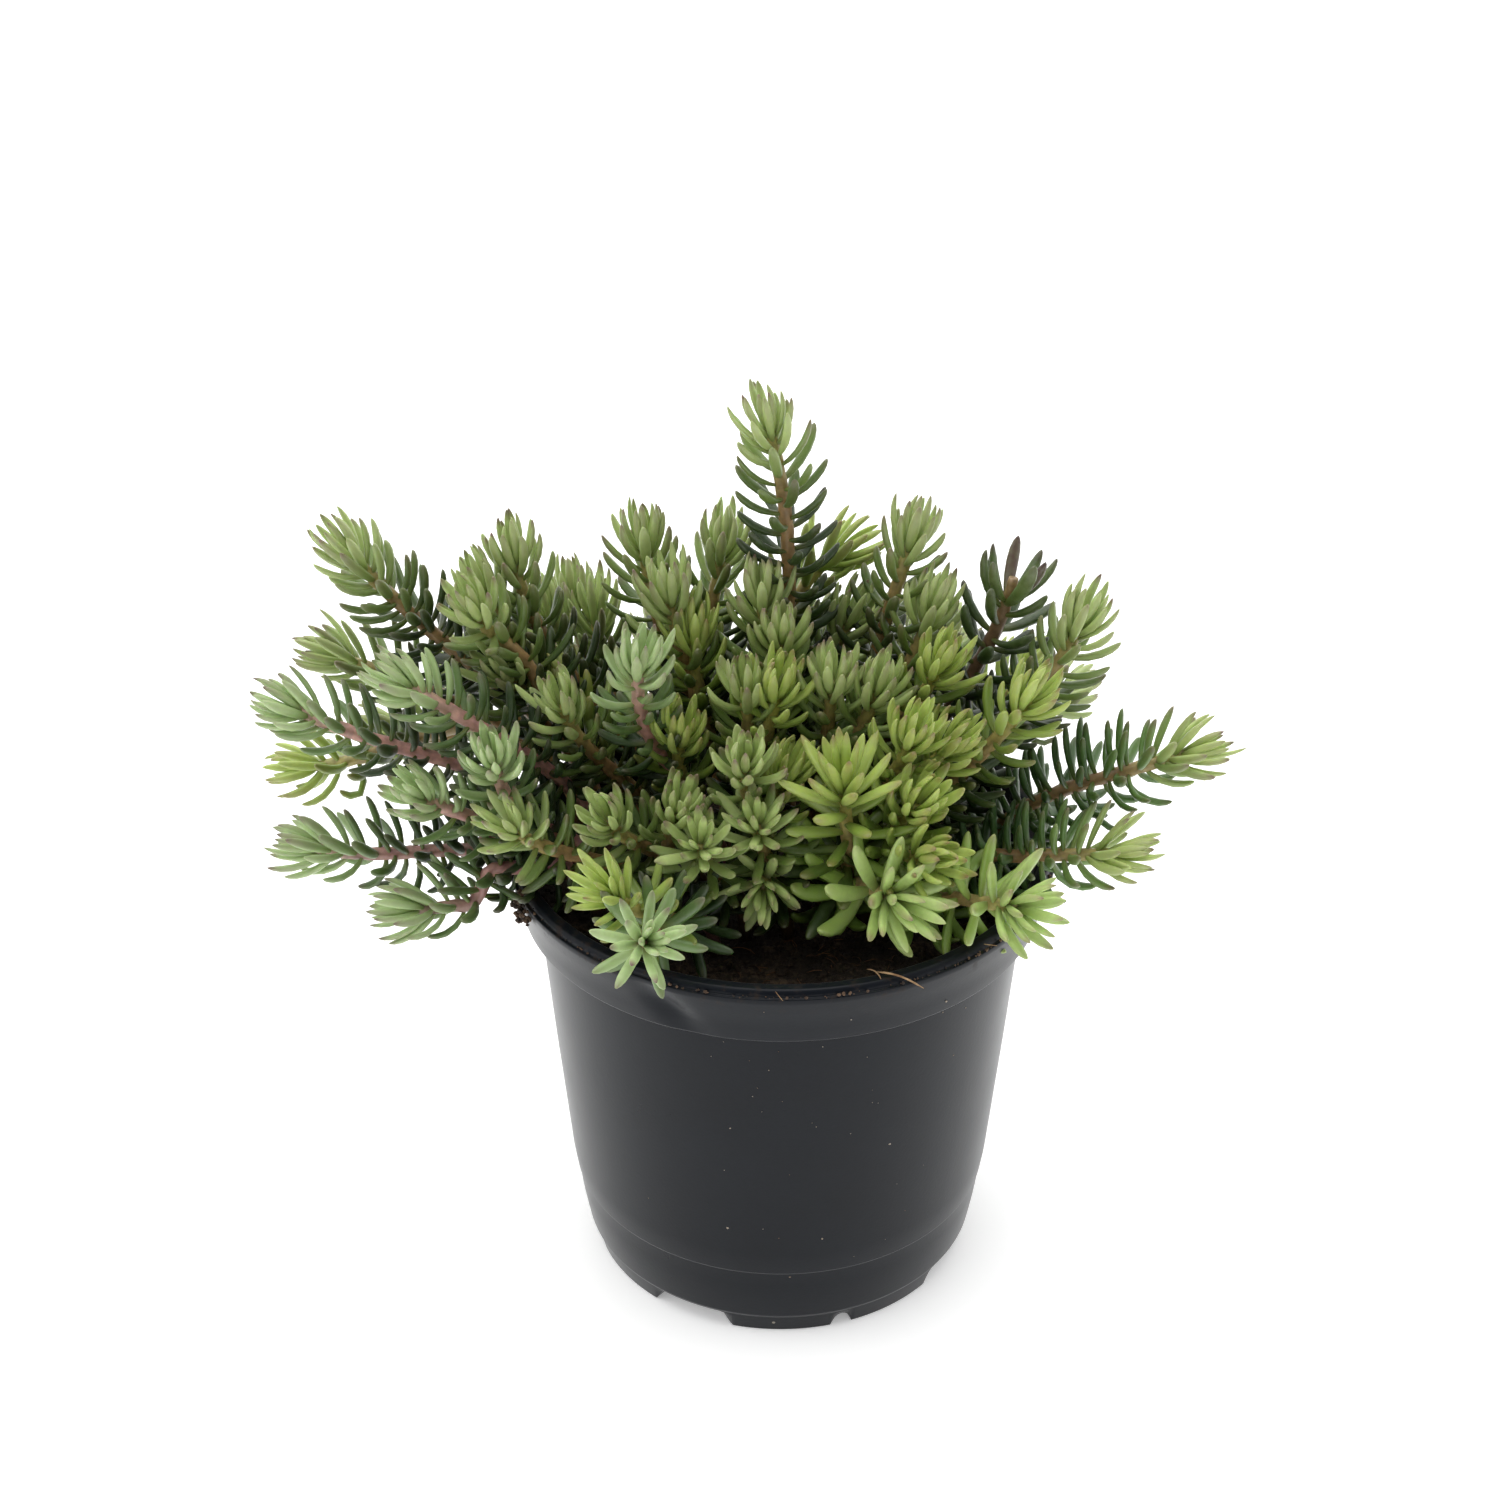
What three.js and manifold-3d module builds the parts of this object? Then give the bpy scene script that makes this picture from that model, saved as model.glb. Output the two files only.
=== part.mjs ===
// A potted sedum: a mound of fleshy, needle-leaved shoots in a thin black nursery pot.
// Millimetres, +Z up, origin on the ground at the middle of the whole outline. The front faces -Y.
import * as THREE from "three";
import { mergeVertices } from "three/addons/utils/BufferGeometryUtils.js";
import Module from "manifold-3d";

const UP = new THREE.Vector3(0, 0, 1);
const wasm = await Module();
wasm.setup();

// The pot's axis stands off the origin, because the plant leans out further on one side than on the other.
const potAxis = { x: 9.22, y: -12.34 };

// Driving dimensions of the pot, a common 10.5 cm size.
const potHeight = 91.4;
const rimRadius = 52.5;
const collarFoot = { radius: 49.8, height: 79 };
const wallTop = { radius: 46.9, height: 78 };
const wallFoot = { radius: 42, height: 21.5 };
const bandTop = { radius: 41.2, height: 17.2 };
const bandFoot = { radius: 39.4, height: 4.8 };
const footRing = { outer: 37.9, inner: 34.6, top: 38.9, height: 4.2 };
const lip = { outer: 51.6, inner: 48.8, drop: 3.2 };
const wall = 1;
const floorHeight = 3.6;
const potSides = 40;

// Driving dimensions of the soil.
const soilTop = 80;
const soilGap = 0.7;
const soilCrown = 1.6;
const soilSides = 30;
const rootDepth = 6;
const rootHole = 2.3;
const rootShare = 0.45;
const rootGap = 8;
const rootReach = 40;

// Driving dimensions of a shoot.
const stem = { radius: 1.35, tipRadius: 1.15, bareSteps: 3 };
const leaf = { length: 12, budLength: 5.5, fullAge: 6, radius: 1.2, rootRadius: 0.7, widest: 0.5, curl: 26 };
const open = { least: 14, most: 74, age: 7 };
const whorlGap = { least: 3, growth: 0.26, most: 5.5 };
const forkShare = 0.35;
const budReach = 4.2;
const clearance = 0.35;
const stemGap = 1.6;
const rimPass = potHeight + 4.2;
const lineSteps = 16;
const linePull = { foot: 0.38, tip: 0.42 };

// Each plant is one rooted piece. A tip is x, y, z of its furthest point, then the bearing of its axis
// (0 is +X, 90 is +Y) and its rise above the horizon in degrees, then the length that carries leaves.
const tip = (x, y, z, bearing, rise, leafy) => ({ at: new THREE.Vector3(x, y, z), bearing, rise, leafy });
const plants = {
  left_high: [tip(-85, 10, 154, 180, 57, 34)],
  left_back: [tip(-94, 18, 123.5, 180, 20, 22), tip(-103, 22, 94, 178, 5, 20)],
  left_long: [tip(-98, -5, 127, 180, 34, 44)],
  left_low: [tip(-97, -8, 97, 184, 27, 44)],
  left_trailing: [tip(-77, -24, 92, 190, 20, 34)],
  left_crown: [tip(-58, -8, 151, -125, 66, 28), tip(-58, 8, 149, 175, 75, 18)],
  left_upright: [tip(-50, 12, 154, 90, 86, 28), tip(-51, -4, 136, -90, 72, 20)],
  left_mid: [tip(-75, -15, 139, 180, 40, 34)],
  left_front: [tip(-68, -27, 121, -112, 55, 24), tip(-52, -28, 132, -95, 75, 24)],
  left_rosette: [tip(-49, -35, 120, -92, 62, 24)],
  back_left: [tip(-46, 30, 133, 95, 84, 22), tip(-41, 36, 133, 100, 84, 22), tip(-36, 28, 134, 80, 86, 22)],
  centre_tall: [tip(-26, 16, 155, 90, 86, 34), tip(-11, 22, 152, 90, 84, 30)],
  centre_full: [tip(-22, 4, 150, 180, 84, 28), tip(-15, 3, 142, 0, 82, 24)],
  centre_pink: [tip(-23, -18, 146, -30, 68, 34), tip(-18, -16, 131, -60, 80, 20)],
  centre_left: [tip(-41, -15, 136, -100, 75, 26), tip(-42, 6, 130, 90, 80, 16)],
  front_left: [tip(-32, -33, 121, -95, 66, 22), tip(-18, -31, 123, -85, 70, 22)],
  front_trailing: [tip(-19, -59, 110, -35, 42, 24), tip(-32, -47, 114, -105, 58, 16)],
  front_small: [tip(-13, -40, 118, -68, 50, 20)],
  front_mid: [tip(-6, -30, 131, -75, 66, 22), tip(2, -22, 126, -70, 76, 20)],
  front_low: [tip(-3, -36, 120, -72, 52, 22), tip(-1, -38, 104, -58, 40, 20)],
  crown_spire: [tip(-5, 12, 180, 170, 74, 56)],
  crown_back: [tip(-4, 6, 149, 90, 82, 26), tip(0, -5, 145, -80, 80, 24)],
  crown_front: [tip(-7, -12, 138, -90, 80, 24), tip(0, -14, 139, -60, 78, 16)],
  crown_right: [tip(9, -12, 140, -85, 80, 26), tip(18, -12, 138, -70, 80, 22)],
  right_nodding: [tip(20, 24, 143, 10, 12, 26), tip(14, 14, 140, 60, 82, 24)],
  right_tall: [tip(27, 16, 156, 40, 66, 38)],
  right_crown: [tip(30, 6, 146, 10, 74, 22), tip(30, -8, 141, -50, 78, 26)],
  right_dark: [tip(44, 8, 152, 20, 83, 40)],
  right_high: [tip(58, 2, 145, 18, 70, 42)],
  right_mid: [tip(48, -16, 138, -18, 66, 34)],
  right_long: [tip(84, -5, 116, -4, 25, 60)],
  right_low: [tip(69, -24, 104, -24, 24, 52)],
  right_rim: [tip(46, -44, 105, -58, 34, 24)],
  front_right: [tip(27, -32, 122, -58, 50, 26), tip(30, -39, 113, -50, 42, 20)],
  front_right_upper: [tip(25, -24, 134, -50, 70, 28), tip(34, -20, 129, -38, 60, 26)],
  front_pale: [tip(24, -45, 103.5, -62, 14, 30), tip(11, -30, 128, -78, 72, 24)],
  back_a: [tip(-70, 42, 112, 150, 40, 30), tip(-86, 34, 98, 160, 15, 30)],
  back_b: [tip(-52, 58, 108, 130, 45, 30), tip(-62, 72, 96, 130, 15, 30)],
  back_c: [tip(-26, 62, 112, 112, 55, 28), tip(-26, 84, 97, 105, 12, 30)],
  back_d: [tip(4, 62, 114, 85, 50, 28), tip(6, 88, 96, 90, 10, 30)],
  back_e: [tip(34, 54, 114, 60, 50, 28), tip(40, 78, 97, 65, 15, 30)],
  back_f: [tip(54, 40, 114, 40, 45, 30), tip(66, 56, 97, 40, 15, 30)],
  back_g: [tip(-14, 44, 124, 100, 72, 26), tip(22, 42, 124, 75, 72, 26)],
};

// A closed mesh as a manifold-3d solid, with only its positions and its shared vertices merged.
function solidOf(geometry) {
  const bare = geometry.clone();
  bare.deleteAttribute("normal");
  bare.deleteAttribute("uv");
  const merged = mergeVertices(bare, 1e-4);
  return new wasm.Manifold(
    new wasm.Mesh({
      numProp: 3,
      vertProperties: merged.attributes.position.array,
      triVerts: new Uint32Array(merged.index.array),
    }),
  );
}

// A manifold-3d solid as a BufferGeometry.
function geometryOf(solid) {
  const mesh = solid.getMesh();
  const geometry = new THREE.BufferGeometry();
  geometry.setAttribute("position", new THREE.BufferAttribute(mesh.vertProperties, 3));
  geometry.setIndex(new THREE.BufferAttribute(mesh.triVerts, 1));
  return geometry;
}

function meshOf(name, solid, material) {
  const geometry = geometryOf(solid).toNonIndexed();
  geometry.computeVertexNormals();
  const mesh = new THREE.Mesh(geometry, material);
  mesh.name = name;
  return mesh;
}

// A repeatable number from -1 to 1 for the unevenness of growth.
function uneven(a, b) {
  const x = Math.sin(a * 12.9898 + b * 78.233) * 43758.5453;
  return 2 * (x - Math.floor(x)) - 1;
}

const lathe = (profile, sides) =>
  new THREE.LatheGeometry(
    profile.map(([r, z]) => new THREE.Vector2(r, z)),
    sides,
  ).rotateX(Math.PI / 2);

// The pot: one thin moulded wall turned round its axis, with a raised lip, a collar, a lower band and a
// foot ring.
function pot() {
  const ledge = potHeight - 1.4;
  const profile = [
    [0, floorHeight],
    [footRing.inner, floorHeight],
    [footRing.inner, 0],
    [footRing.outer, 0],
    [footRing.top, footRing.height],
    [bandFoot.radius, bandFoot.height],
    [bandTop.radius, bandTop.height],
    [wallFoot.radius, wallFoot.height],
    [wallTop.radius, wallTop.height],
    [collarFoot.radius, collarFoot.height],
    [rimRadius, ledge - 0.6],
    [rimRadius, ledge],
    [lip.outer, ledge + 0.2],
    [lip.outer - 0.5, potHeight - 0.2],
    [lip.outer - 1.1, potHeight],
    [lip.inner + 0.6, potHeight],
    [lip.inner, potHeight - 0.6],
    [lip.inner, potHeight - lip.drop],
    [collarFoot.radius - 1.4, collarFoot.height + 1],
    [wallTop.radius - wall, wallTop.height],
    [wallFoot.radius - wall, wallFoot.height],
    [bandFoot.radius - wall, floorHeight + wall + 1],
    [bandFoot.radius - wall - 1.5, floorHeight + wall],
    [0, floorHeight + wall],
  ];
  let body = solidOf(lathe(profile, potSides));
  // Four wide notches with sloping sides let the water out between the feet.
  const notch = new THREE.Shape();
  const notchTop = floorHeight + 0.4;
  notch.moveTo(-8.6, -1);
  notch.lineTo(8.6, -1);
  notch.lineTo(6.2, notchTop);
  notch.lineTo(-6.2, notchTop);
  const wideNotch = new THREE.ExtrudeGeometry(notch, { depth: 14, bevelEnabled: false });
  wideNotch.rotateX(Math.PI / 2).translate(0, -29, 0);
  // Four narrow notches hold the drain holes, which run up through the floor's edge.
  const drain = new THREE.CylinderGeometry(2.4, 2.4, 8, 8).rotateX(Math.PI / 2);
  for (let quarter = 0; quarter < 4; quarter++) {
    const turn = (quarter * Math.PI) / 2;
    const wide = wideNotch.clone().rotateZ(turn - THREE.MathUtils.degToRad(27.5));
    const hole = drain
      .clone()
      .translate(0, -36.6, 2.2)
      .rotateZ(turn + THREE.MathUtils.degToRad(18.5));
    body = body.subtract(solidOf(wide)).subtract(solidOf(hole));
  }
  return body;
}

// The height of the soil's crumbly top at a point: a low crown with lumps on it.
function soilAt(x, y) {
  const reach = Math.hypot(x, y) / 47;
  return soilTop + soilCrown * (1 - reach * reach) + 0.5 * Math.sin(x * 0.31 + 1) * Math.cos(y * 0.27);
}

// The soil: it fills the pot to a finger's breadth below the rim, and has a hole at each root.
function soil(roots) {
  const inner = (height) => {
    const share = (height - wallFoot.height) / (wallTop.height - wallFoot.height);
    return wallFoot.radius + (wallTop.radius - wallFoot.radius) * share - wall - soilGap;
  };
  const bed = floorHeight + wall + 1.4;
  const profile = [
    [0, bed],
    [bandFoot.radius - wall - 1.2, bed],
    [inner(wallFoot.height) - 0.4, wallFoot.height + 0.5],
    [inner(wallTop.height), wallTop.height],
    [collarFoot.radius - 3, soilTop],
    [28, soilTop],
    [0, soilTop],
  ];
  const shape = lathe(profile, soilSides);
  const position = shape.attributes.position;
  for (let i = 0; i < position.count; i++)
    if (position.getZ(i) > soilTop - 0.01) position.setZ(i, soilAt(position.getX(i), position.getY(i)));
  let body = solidOf(shape);
  const hole = new THREE.CylinderGeometry(rootHole, rootHole, 2 * rootDepth + 4, 5).rotateX(Math.PI / 2);
  for (const root of roots) body = body.subtract(solidOf(hole.clone().translate(root.x, root.y, soilTop)));
  return body;
}

// Pushes points that are too close apart, a little at a time, and keeps them inside a circle.
function spread(points, gap, limit) {
  for (let round = 0; round < 60; round++) {
    points.forEach((a, i) =>
      points.slice(i + 1).forEach((b) => {
        const away = new THREE.Vector3().subVectors(b, a);
        const near = away.length();
        if (near > gap) return;
        away.multiplyScalar((0.5 * (gap - near)) / (near + 1e-6));
        a.sub(away);
        b.add(away);
      }),
    );
    for (const p of points) p.clampLength(0, limit);
  }
}

const direction = (bearing, rise) => {
  const b = THREE.MathUtils.degToRad(bearing);
  const r = THREE.MathUtils.degToRad(rise);
  return new THREE.Vector3(Math.cos(b) * Math.cos(r), Math.sin(b) * Math.cos(r), Math.sin(r));
};

// The centre line of a shoot: up out of the soil, over the rim if it leaves the pot, and out along its axis.
function centreLine(start, along, end) {
  const axis = direction(end.bearing, end.rise);
  const apex = end.at.clone().addScaledVector(axis, -budReach);
  const span = start.distanceTo(apex);
  const curve = new THREE.CubicBezierCurve3(
    start,
    start.clone().addScaledVector(along, linePull.foot * span),
    apex.clone().addScaledVector(axis, -linePull.tip * span),
    apex,
  );
  return curve.getPoints(lineSteps);
}

function liftOverRim(points) {
  for (const p of points.slice(1)) {
    const reach = Math.hypot(p.x, p.y);
    if (reach > 42 && reach < rimRadius + 6 && p.z < rimPass) p.z = rimPass;
  }
}

// Moves centre lines apart until no two stems of different plants touch. Their ends stay where they are.
function separate(lines) {
  const gap = 2 * stem.radius + stemGap;
  for (let round = 0; round < 40; round++)
    lines.forEach((a, i) =>
      lines.slice(i + 1).forEach((b) => {
        if (a.plant === b.plant) return;
        for (let j = 1; j <= lineSteps; j++)
          for (let k = 1; k <= lineSteps; k++) {
            const away = new THREE.Vector3().subVectors(b.points[k], a.points[j]);
            const near = away.length();
            if (near > gap) continue;
            away.multiplyScalar((0.5 * (gap - near)) / (near + 1e-6));
            if (j < lineSteps) a.points[j].sub(away);
            if (k < lineSteps) b.points[k].add(away);
          }
      }),
    );
}

// The distance between two straight stretches, by their closest points.
function stretchGap(a0, a1, b0, b1) {
  const u = new THREE.Vector3().subVectors(a1, a0);
  const v = new THREE.Vector3().subVectors(b1, b0);
  const w = new THREE.Vector3().subVectors(a0, b0);
  const uu = u.dot(u) + 1e-9;
  const vv = v.dot(v) + 1e-9;
  const uv = u.dot(v);
  const uw = u.dot(w);
  const vw = v.dot(w);
  let s = THREE.MathUtils.clamp((uv * vw - vv * uw) / (uu * vv - uv * uv + 1e-9), 0, 1);
  const t = THREE.MathUtils.clamp((uv * s + vw) / vv, 0, 1);
  s = THREE.MathUtils.clamp((uv * t - uw) / uu, 0, 1);
  return w.addScaledVector(u, s).addScaledVector(v, -t).length();
}

// True if a point with a radius round it is clear of the pot's rim and wall and of the soil.
function clearOfPot(p, radius) {
  const reach = Math.hypot(p.x, p.y);
  if (p.z > potHeight + radius + 0.4) return true;
  if (reach > rimRadius + radius + 0.4) return p.z > 1;
  return reach < lip.inner - radius - 0.6 && p.z > soilAt(p.x, p.y) + radius + 0.5;
}

// Where the rings of a head's stem lie, as distances below its apex: close in the bud, wider apart below it.
function ringAges(leafy) {
  const ages = [0];
  for (;;) {
    const next = ages.at(-1) + Math.min(whorlGap.most, whorlGap.least + whorlGap.growth * ages.at(-1));
    if (next > leafy + 2) return ages;
    ages.push(next);
  }
}

// The three-cornered rings of a head from its foot in the soil to its apex. Each is turned a sixth from the
// last, so that the faces between two rings are six triangles that point up and down by turns.
function ringsOf(line) {
  const curve = new THREE.CatmullRomCurve3(line.points);
  const total = curve.getLength();
  const ages = ringAges(Math.min(line.end.leafy, total - 9));
  const bare = total - ages.at(-1);
  for (let i = 1; i <= stem.bareSteps; i++) ages.push(total - bare * (1 - i / stem.bareSteps));
  const stations = ages.reverse().map((age) => {
    const share = THREE.MathUtils.clamp(1 - age / total, 0, 1);
    return { age, at: curve.getPointAt(share), along: curve.getTangentAt(share) };
  });
  const foot = stations[0].at.clone().setZ(soilTop - rootDepth);
  if (!line.isFork) stations.unshift({ age: total, at: foot, along: UP });
  let side = new THREE.Vector3(1, 0, 0);
  stations.forEach((station, n) => {
    const { at, along, age } = station;
    side = side.clone().addScaledVector(along, -side.dot(along)).normalize();
    const front = new THREE.Vector3().crossVectors(along, side);
    const radius = THREE.MathUtils.lerp(stem.tipRadius, stem.radius, Math.min(1, age / line.end.leafy));
    station.corners = [0, 1, 2].map((k) => {
      const angle = (n * Math.PI) / 3 + (k * 2 * Math.PI) / 3;
      return at
        .clone()
        .addScaledVector(side, radius * Math.cos(angle))
        .addScaledVector(front, radius * Math.sin(angle));
    });
  });
  return stations;
}

// The line of one leaf: it leaves the stem at an angle that opens with age, and curves back up to the light.
function leafLine(base, along, out, age, level, odd) {
  const least = THREE.MathUtils.degToRad(open.least);
  const spread = THREE.MathUtils.degToRad(open.most - open.least) * (1 - Math.exp(-age / open.age));
  const angle = least + spread;
  const grownShare = Math.min(1, age / leaf.fullAge);
  const length = THREE.MathUtils.lerp(leaf.budLength, leaf.length, grownShare) * (1 + 0.1 * odd);
  const way = (turn, lift) => {
    const step = along.clone().multiplyScalar(Math.cos(turn)).addScaledVector(out, Math.sin(turn));
    step.z += lift * (0.15 + 0.55 * level) * Math.sin(angle);
    return step.normalize();
  };
  const middle = base.clone().addScaledVector(way(angle, 0.5), length * leaf.widest);
  const curled = way(angle - THREE.MathUtils.degToRad(leaf.curl) * grownShare, 1.1);
  return [base, middle, middle.clone().addScaledVector(curled, length * (1 - leaf.widest))];
}

const turned = (v, axis, degrees) => v.clone().applyAxisAngle(axis, THREE.MathUtils.degToRad(degrees));

// Finds a place for a leaf, turned aside where it would touch a neighbour; null if there is none.
function placeLeaf(line, corners, base, along, out, age, odd) {
  const level = Math.cos(THREE.MathUtils.degToRad(line.end.rise));
  for (const aside of [0, 15, -15, 30, -30]) {
    const spine = leafLine(base, along, turned(out, along, aside + 6 * odd), age, level, odd);
    if (!spine.slice(1).every((p) => clearOfPot(p, leaf.radius))) continue;
    const blade = [
      { from: base, to: spine[1], radius: leaf.radius, line },
      { from: spine[1], to: spine[2], radius: leaf.radius, line },
    ];
    const rootRadius = leaf.rootRadius;
    const foot = corners.map((from) => ({ from, to: spine[1], radius: rootRadius, line, isRoot: true }));
    if (!clearOfOthers([...blade, ...foot], line)) continue;
    grown.push(...blade, ...foot);
    return spine;
  }
  return null;
}

// Draws a leaf out of one face of the stem: faces widen from the face's corners to the leaf's widest part,
// and three more close at its point.
function drawLeaf(faces, [a, b, c], [base, middle, point]) {
  const axis = new THREE.Vector3().subVectors(middle, base).normalize();
  const first = new THREE.Vector3().subVectors(a, base);
  first.addScaledVector(axis, -first.dot(axis)).normalize();
  const belt = [0, 120, 240].map((degrees) =>
    middle.clone().addScaledVector(turned(first, axis, degrees), leaf.radius),
  );
  [a, b, c].forEach((corner, k) => {
    const next = [b, c, a][k];
    const to = belt[(k + 1) % 3];
    faces.push([corner, next, to], [corner, to, belt[k]], [belt[k], to, point]);
  });
}

// Everything grown so far, as straight stretches with a radius, each marked with its plant and its head.
const grown = [];
function clearOfOthers(stretches, line) {
  return stretches.every((own) =>
    grown.every((g) => {
      const sameHead = g.line === line;
      if (sameHead && (g.isStem || g.isRoot || own.isRoot)) return true;
      const gap = sameHead ? 0.5 * (own.radius + g.radius) : own.radius + g.radius + clearance;
      const reach = gap + own.from.distanceTo(own.to) + g.from.distanceTo(g.to);
      if (own.from.distanceToSquared(g.from) > reach * reach) return true;
      return stretchGap(own.from, own.to, g.from, g.to) > gap;
    }),
  );
}

// One head as a closed skin: its stem's faces, with a leaf drawn out of every face that points up.
function head(line, number) {
  const faces = [];
  const rings = line.rings;
  const leafFace = (corners, age, at, along, k) => {
    const base = new THREE.Vector3();
    for (const corner of corners) base.addScaledVector(corner, 1 / 3);
    const out = new THREE.Vector3().subVectors(base, at);
    out.addScaledVector(along, -out.dot(along)).normalize();
    const odd = uneven(number, age * 3 + k);
    const spine = placeLeaf(line, corners, base, along, out, age, odd);
    if (!spine) return faces.push(corners);
    return drawLeaf(faces, corners, spine);
  };
  const last = rings.at(-1);
  const apex = last.at.clone().addScaledVector(last.along, 0.7);
  const [p, q, r] = last.corners;
  leafFace([p, q, apex], 0, last.at, last.along, 0);
  leafFace([q, r, apex], 0, last.at, last.along, 1);
  leafFace([r, p, apex], 0, last.at, last.along, 2);
  for (let n = rings.length - 2; n >= 0; n--) {
    const low = rings[n];
    const high = rings[n + 1];
    for (let k = 0; k < 3; k++) {
      const next = (k + 1) % 3;
      const corners = [low.corners[k], low.corners[next], high.corners[k]];
      if (low.age > line.end.leafy + 3) faces.push(corners);
      else leafFace(corners, (low.age + high.age) / 2, low.at, low.along, k);
      faces.push([low.corners[next], high.corners[next], high.corners[k]]);
    }
  }
  const [a, b, c] = rings[0].corners;
  faces.push([c, b, a]);
  return new THREE.BufferGeometry().setFromPoints(faces.flat());
}

const materials = {
  pot: new THREE.MeshStandardMaterial({ color: 0x2b2d30, roughness: 0.42, metalness: 0 }),
  soil: new THREE.MeshStandardMaterial({ color: 0x1b130d, roughness: 1, metalness: 0 }),
  plant: new THREE.MeshStandardMaterial({ color: 0x6f8c50, roughness: 0.6, metalness: 0 }),
};

const names = Object.keys(plants);
const roots = names.map((name) => {
  const middle = new THREE.Vector3();
  for (const end of plants[name]) middle.add(end.at);
  middle.divideScalar(plants[name].length).setZ(0);
  return middle.multiplyScalar(rootShare);
});
spread(roots, rootGap, rootReach);

const lines = names.flatMap((plant, i) => {
  const ground = new THREE.Vector3(roots[i].x, roots[i].y, soilTop + soilCrown + 1);
  const [first, ...forks] = plants[plant];
  const main = { plant, end: first, points: centreLine(ground, UP, first) };
  const forkLines = forks.map((end) => {
    const curve = new THREE.CatmullRomCurve3(main.points);
    const start = curve.getPoint(forkShare);
    return { plant, end, main, isFork: true, points: centreLine(start, curve.getTangent(forkShare), end) };
  });
  return [main, ...forkLines];
});
for (const line of lines) liftOverRim(line.points);
separate(lines);
for (const line of lines)
  if (line.isFork) line.points[0] = new THREE.CatmullRomCurve3(line.main.points).getPoint(forkShare);
for (const line of lines) {
  line.rings = ringsOf(line);
  line.rings.slice(1).forEach((ring, i) =>
    grown.push({ from: line.rings[i].at, to: ring.at, radius: stem.radius, line, isStem: true }),
  );
}

const root = new THREE.Group();
root.add(meshOf("pot", pot(), materials.pot));
root.add(meshOf("soil", soil(roots), materials.soil));
const heads = lines.map((line, i) => solidOf(head(line, i + 1)));
for (const plant of names) {
  const own = heads.filter((solid, i) => lines[i].plant === plant);
  root.add(meshOf("shoot_" + plant, wasm.Manifold.union(own), materials.plant));
}

root.position.set(potAxis.x, potAxis.y, 0);

export default root;
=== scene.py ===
import math

import bpy
import numpy as np
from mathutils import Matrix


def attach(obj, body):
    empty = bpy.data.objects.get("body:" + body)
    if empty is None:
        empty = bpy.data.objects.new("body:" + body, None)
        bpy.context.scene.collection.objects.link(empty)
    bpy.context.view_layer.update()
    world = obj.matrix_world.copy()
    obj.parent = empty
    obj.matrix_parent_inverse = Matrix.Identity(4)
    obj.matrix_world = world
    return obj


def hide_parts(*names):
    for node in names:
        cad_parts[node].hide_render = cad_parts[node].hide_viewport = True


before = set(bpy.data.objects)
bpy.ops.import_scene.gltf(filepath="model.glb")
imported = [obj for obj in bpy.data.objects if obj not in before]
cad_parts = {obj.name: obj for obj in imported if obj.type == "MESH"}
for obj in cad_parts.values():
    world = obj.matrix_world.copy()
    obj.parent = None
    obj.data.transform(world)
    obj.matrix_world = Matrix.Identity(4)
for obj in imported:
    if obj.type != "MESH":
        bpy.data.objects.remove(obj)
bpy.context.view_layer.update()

# The pot: one thin piece of black polypropylene, injection-moulded, with a rolled lip, a collar that
# overhangs the tapered wall, a ring low down on the wall and a foot ring. Four wide notches and four small
# round ones in the foot let the water out. The collar has taken one small dent.
POT_AXIS = np.array([9.22, -12.34, 0.0])  # from the origin, which is the middle of pot and plant together
POT_COLUMNS = 480
FLOOR_UNDER, FLOOR_TOP = 3.6, 4.6
# The radius, height and fillet of each corner, from under the floor out, up the wall, over the lip and down
# inside.
POT_PROFILE = [
    *((0, FLOOR_UNDER, 0), (34.0, FLOOR_UNDER, 0.4), (34.6, 3.0, 0.3), (34.6, 0.0, 0.25), (37.9, 0.0, 0.35)),
    *((38.9, 4.2, 0.3), (39.4, 4.8, 0.5), (40.5, 11.0, 3.0), (41.2, 17.2, 0.35), (41.45, 17.5, 0.3)),
    *((42.05, 21.5, 1.6), (44.6, 50.0, 4.0), (46.9, 78.0, 0.5), (47.0, 78.9, 0.3), (49.65, 79.0, 0.15)),
    *((50.0, 79.4, 0.15), (50.9, 84.0, 2.0), (52.4, 89.2, 0.5), (52.35, 90.1, 0.3), (51.75, 90.1, 0.25)),
    *((51.6, 90.7, 0.5), (51.1, 91.4, 0.6), (49.2, 91.4, 0.7), (48.8, 90.6, 0.5), (48.75, 88.2, 0.5)),
    *((48.4, 80.0, 0.6), (45.9, 78.0, 0.8), (41.0, 21.5, 2.0), (38.4, 5.6, 0.8), (37.0, FLOOR_TOP, 0.5)),
    (0, FLOOR_TOP, 0),
]
FOOT_INSIDE, FOOT_TOP = 34.3, 4.3
WIDE_BEARING, WIDE_HALF, WIDE_SLOPE, WIDE_HIGH = -27.5, 13.2, 3.4, 3.6  # degrees, and a height
SMALL_BEARING, SMALL_HALF, SMALL_HIGH = 18.5, 3.1, 2.6
DENT_BEARING, DENT_HEIGHT, DENT_SPREAD, DENT_SLANT, DENT_DEPTH = 246, 84.5, 4.2, 0.9, 1.3
COLLAR_INSIDE, COLLAR_BOTTOM = 48, 77
OUT_OF_ROUND, LIP_HEIGHT = 0.18, 91


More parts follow.
